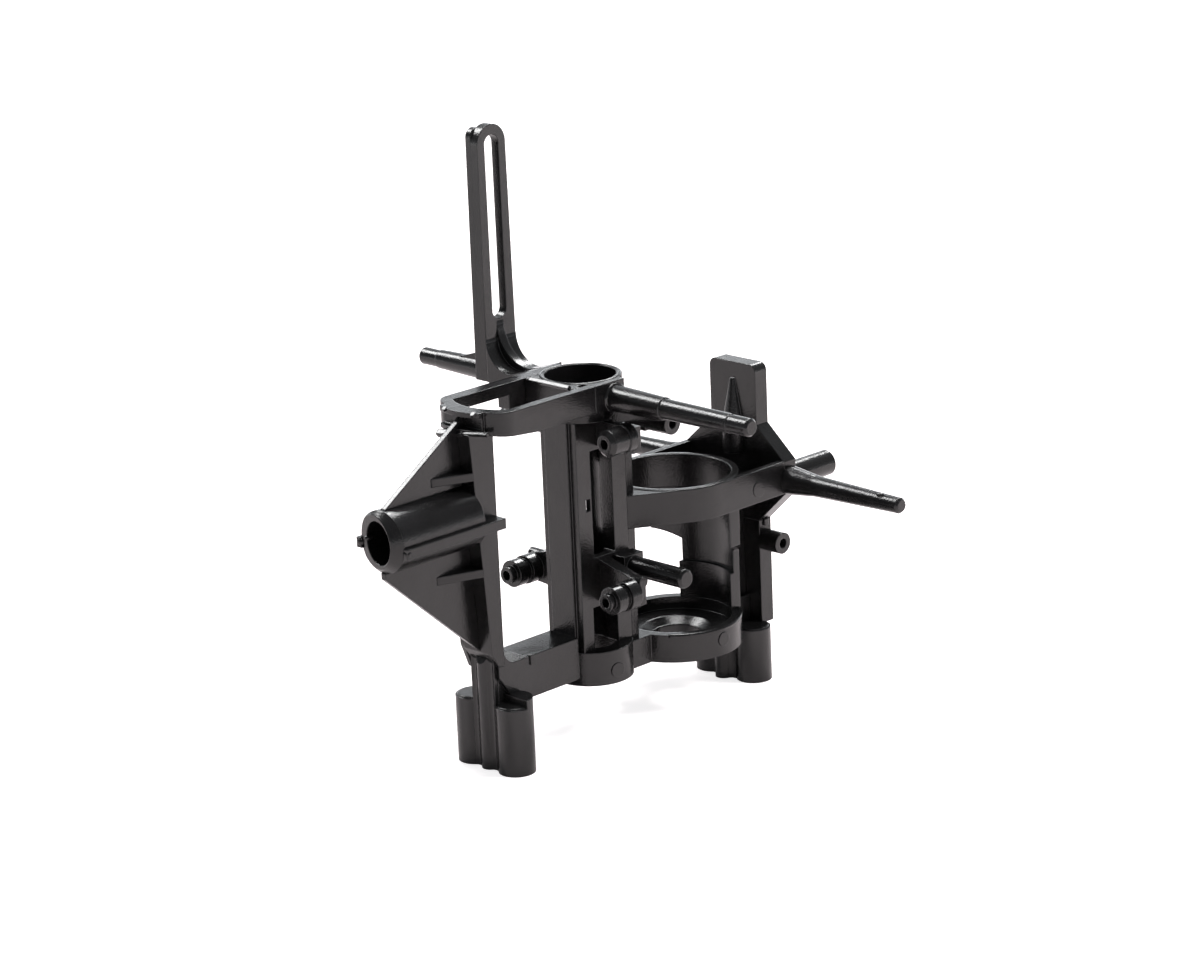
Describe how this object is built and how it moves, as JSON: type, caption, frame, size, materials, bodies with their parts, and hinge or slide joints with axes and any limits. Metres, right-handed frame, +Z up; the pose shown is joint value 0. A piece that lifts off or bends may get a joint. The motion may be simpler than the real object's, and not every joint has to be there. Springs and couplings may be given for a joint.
{
  "type": "model helicopter main frame",
  "caption": "Bare moulded main frame of a small model helicopter, with bearing seats, a tail boom socket, a motor mount, canopy posts and landing gear sockets.",
  "frame": {"origin": "on the main shaft axis, at the middle of the upper bearing seat, level with the upper canopy posts", "axes": "+X towards the nose, +Y to the left side, +Z up along the main shaft"},
  "size_m": [0.0626, 0.0448, 0.0592],
  "materials": {
    "plastic": "satin"
  },
  "bodies": {
    "root": {"top_deck": "plastic", "upper_bearing_seat": "plastic", "upper_post_right": "plastic", "upper_post_left": "plastic", "swash_guide": "plastic", "guide_foot": "plastic", "rear_pillar": "plastic", "lower_rail": "plastic", "front_pillar": "plastic", "lower_bearing_seat": "plastic", "boom_socket": "plastic", "boom_key_right": "plastic", "boom_key_left": "plastic", "gusset_upper": "plastic", "gusset_lower": "plastic", "shelf_upper_right": "plastic", "shelf_upper_left": "plastic", "shelf_lower_right": "plastic", "shelf_lower_left": "plastic", "servo_mount_upper_right": "plastic", "servo_mount_upper_left": "plastic", "servo_mount_lower_right": "plastic", "servo_mount_lower_left": "plastic", "wire_pin": "plastic", "board_arm": "plastic", "board_boss_front": "plastic", "motor_ring": "plastic", "motor_cradle": "plastic", "motor_base": "plastic", "nose_bulkhead": "plastic", "nose_tab": "plastic", "nose_post": "plastic", "nose_post_right": "plastic", "nose_post_left": "plastic", "nose_peg": "plastic", "front_leg_web": "plastic", "front_leg_right": "plastic", "front_leg_left": "plastic", "rear_leg_web": "plastic", "rear_leg_right": "plastic", "rear_leg_left": "plastic", "keel_pad_left": "plastic"}
  },
  "joints": []
}
